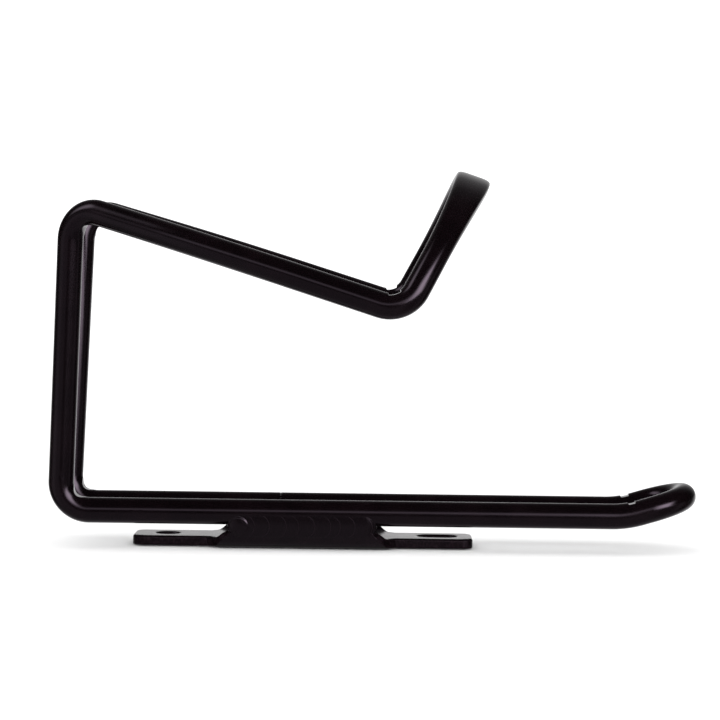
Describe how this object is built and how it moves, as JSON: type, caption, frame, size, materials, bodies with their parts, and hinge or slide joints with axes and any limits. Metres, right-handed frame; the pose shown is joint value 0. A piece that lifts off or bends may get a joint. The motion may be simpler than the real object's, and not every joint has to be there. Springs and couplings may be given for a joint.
{
  "type": "water bottle cage",
  "caption": "Bent aluminium rod cage for a bicycle water bottle: parallel rails on a welded bracket, stop arms, side arms, a flattened grip arch and a hooked mouth end.",
  "frame": {"origin": "midway between the two mounting positions, on the bracket's flat back face, in the symmetry plane", "axes": "+X along the rails towards the mouth and hook, +Z away from the bicycle frame, +Y to the left side seen from the mouth-forward direction"},
  "size_m": [0.1527, 0.0804, 0.0889],
  "materials": {
    "painted_rod": "glossy black paint over a drawn aluminium rod",
    "painted_plate": "glossy black paint over pressed plate, grainy on the sheared edges",
    "painted_weld": "glossy black paint over rippled weld beads"
  },
  "bodies": {
    "root": {"rod_loop": "painted_rod", "mounting_bracket": "painted_plate", "weld_bead_right": "painted_weld", "weld_bead_left": "painted_weld"}
  },
  "joints": []
}
